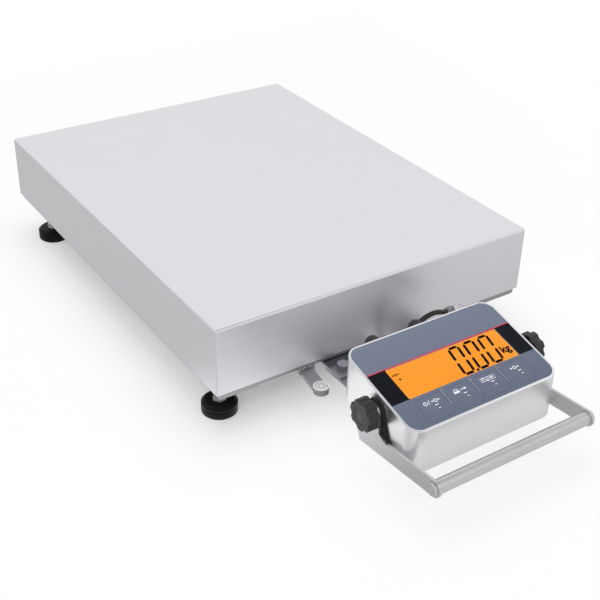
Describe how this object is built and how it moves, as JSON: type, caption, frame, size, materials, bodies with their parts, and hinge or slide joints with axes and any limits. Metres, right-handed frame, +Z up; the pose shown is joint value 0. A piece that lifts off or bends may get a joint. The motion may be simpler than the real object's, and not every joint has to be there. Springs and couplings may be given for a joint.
{
  "type": "washdown bench scale",
  "caption": "Low stainless bench scale with a lift-off weighing pan, levelling feet and a tilting indicator held in front of it between two arms and a bar.",
  "frame": {"origin": "on the floor, under the middle of the whole scale's footprint", "axes": "+Z up, +X to the right along the front of the platform, +Y from the indicator towards the platform's rear edge"},
  "size_m": [0.42, 0.7808, 0.1365],
  "materials": {
    "brushed_stainless": "brushed grain, satin",
    "raw_stainless": "mill finish, welded",
    "bright_steel": "bright",
    "cell_aluminium": "anodised",
    "black_rubber": "matt",
    "black_plastic": "fine moulded texture",
    "grey_plastic": "moulded",
    "white_plastic": "moulded",
    "vial": "clear with a tinted liquid",
    "overlay": "printed polyester film",
    "overlay_key": "printed polyester film",
    "window": "clear",
    "display": "backlit orange",
    "circuit_board": "solder resist",
    "sheathed_lead": "smooth sheath"
  },
  "bodies": {
    "base": {"base_side_rails": "raw_stainless", "base_cross_rails": "raw_stainless", "rail_end_caps": "raw_stainless", "load_cell_tray": "raw_stainless", "load_cell": "cell_aluminium", "load_cell_spacers": "raw_stainless", "load_cell_bolts": "bright_steel", "load_plate": "raw_stainless", "load_frame_cross_rails": "raw_stainless", "load_frame_long_rails": "raw_stainless", "load_frame_end_caps": "raw_stainless", "pan_buffers": "black_rubber", "overload_stops": "bright_steel", "foot_lock_nuts": "bright_steel", "level_holder": "grey_plastic", "level_vial": "vial", "level_ring": "white_plastic", "level_screws": "bright_steel", "mount_plate": "raw_stainless", "indicator_bracket": "raw_stainless", "bracket_bolts": "bright_steel", "side_plate_left": "brushed_stainless", "side_plate_right": "brushed_stainless", "handle_bar": "brushed_stainless", "handle_end_caps": "brushed_stainless", "load_cell_lead": "sheathed_lead", "friction_pads": "black_rubber"},
    "pan": {"platform_pan": "brushed_stainless"},
    "indicator": {"indicator_housing": "brushed_stainless", "front_label": "overlay", "display_window": "window", "display_glass": "display", "display_backlight": "white_plastic", "main_board": "circuit_board", "key_switches": "black_plastic", "board_posts": "bright_steel", "cover_gasket": "black_rubber", "rear_cover": "brushed_stainless", "rear_cover_screws": "bright_steel", "pivot_inserts": "bright_steel", "cable_glands": "black_plastic", "lead_elbow": "bright_steel", "elbow_nut": "bright_steel", "elbow_sleeve": "grey_plastic"},
    "knob_left": {"knob_left": "black_plastic", "knob_stud_left": "bright_steel"},
    "knob_right": {"knob_right": "black_plastic", "knob_stud_right": "bright_steel"},
    "foot_front_left": {"foot_front_left": "black_rubber", "foot_stud_front_left": "bright_steel"},
    "foot_front_right": {"foot_front_right": "black_rubber", "foot_stud_front_right": "bright_steel"},
    "foot_rear_left": {"foot_rear_left": "black_rubber", "foot_stud_rear_left": "bright_steel"},
    "foot_rear_right": {"foot_rear_right": "black_rubber", "foot_stud_rear_right": "bright_steel"},
    "key_1": {"key_1": "overlay_key"},
    "key_2": {"key_2": "overlay_key"},
    "key_3": {"key_3": "overlay_key"},
    "key_4": {"key_4": "overlay_key"}
  },
  "joints": [
    {"name": "pan_lift", "type": "slide", "parent": "base", "child": "pan", "axis": [0, 0, 1], "range_m": [0, 0.12]},
    {"name": "indicator_tilt", "type": "hinge", "parent": "base", "child": "indicator", "pos_m": [0, -0.28163, 0.0735], "axis": [1, 0, 0], "range_deg": [-10, 20], "deforming": ["load_cell_lead"]},
    {"name": "knob_left_turn", "type": "hinge", "parent": "indicator", "child": "knob_left", "pos_m": [0, -0.28163, 0.0735], "axis": [1, 0, 0], "continuous": true},
    {"name": "knob_right_turn", "type": "hinge", "parent": "indicator", "child": "knob_right", "pos_m": [0, -0.28163, 0.0735], "axis": [1, 0, 0], "continuous": true},
    {"name": "foot_front_left_height", "type": "slide", "parent": "base", "child": "foot_front_left", "axis": [0, 0, 1], "range_m": [-0.01, 0.01]},
    {"name": "foot_front_right_height", "type": "slide", "parent": "base", "child": "foot_front_right", "axis": [0, 0, 1], "range_m": [-0.01, 0.01]},
    {"name": "foot_rear_left_height", "type": "slide", "parent": "base", "child": "foot_rear_left", "axis": [0, 0, 1], "range_m": [-0.01, 0.01]},
    {"name": "foot_rear_right_height", "type": "slide", "parent": "base", "child": "foot_rear_right", "axis": [0, 0, 1], "range_m": [-0.01, 0.01]},
    {"name": "key_1_press", "type": "slide", "parent": "indicator", "child": "key_1", "axis": [0, 0.2233, -0.9748], "range_m": [0, 0.00035], "stiffness_N_per_m": 6000, "springref_m": -0.0002},
    {"name": "key_2_press", "type": "slide", "parent": "indicator", "child": "key_2", "axis": [0, 0.2233, -0.9748], "range_m": [0, 0.00035], "stiffness_N_per_m": 6000, "springref_m": -0.0002},
    {"name": "key_3_press", "type": "slide", "parent": "indicator", "child": "key_3", "axis": [0, 0.2233, -0.9748], "range_m": [0, 0.00035], "stiffness_N_per_m": 6000, "springref_m": -0.0002},
    {"name": "key_4_press", "type": "slide", "parent": "indicator", "child": "key_4", "axis": [0, 0.2233, -0.9748], "range_m": [0, 0.00035], "stiffness_N_per_m": 6000, "springref_m": -0.0002}
  ]
}
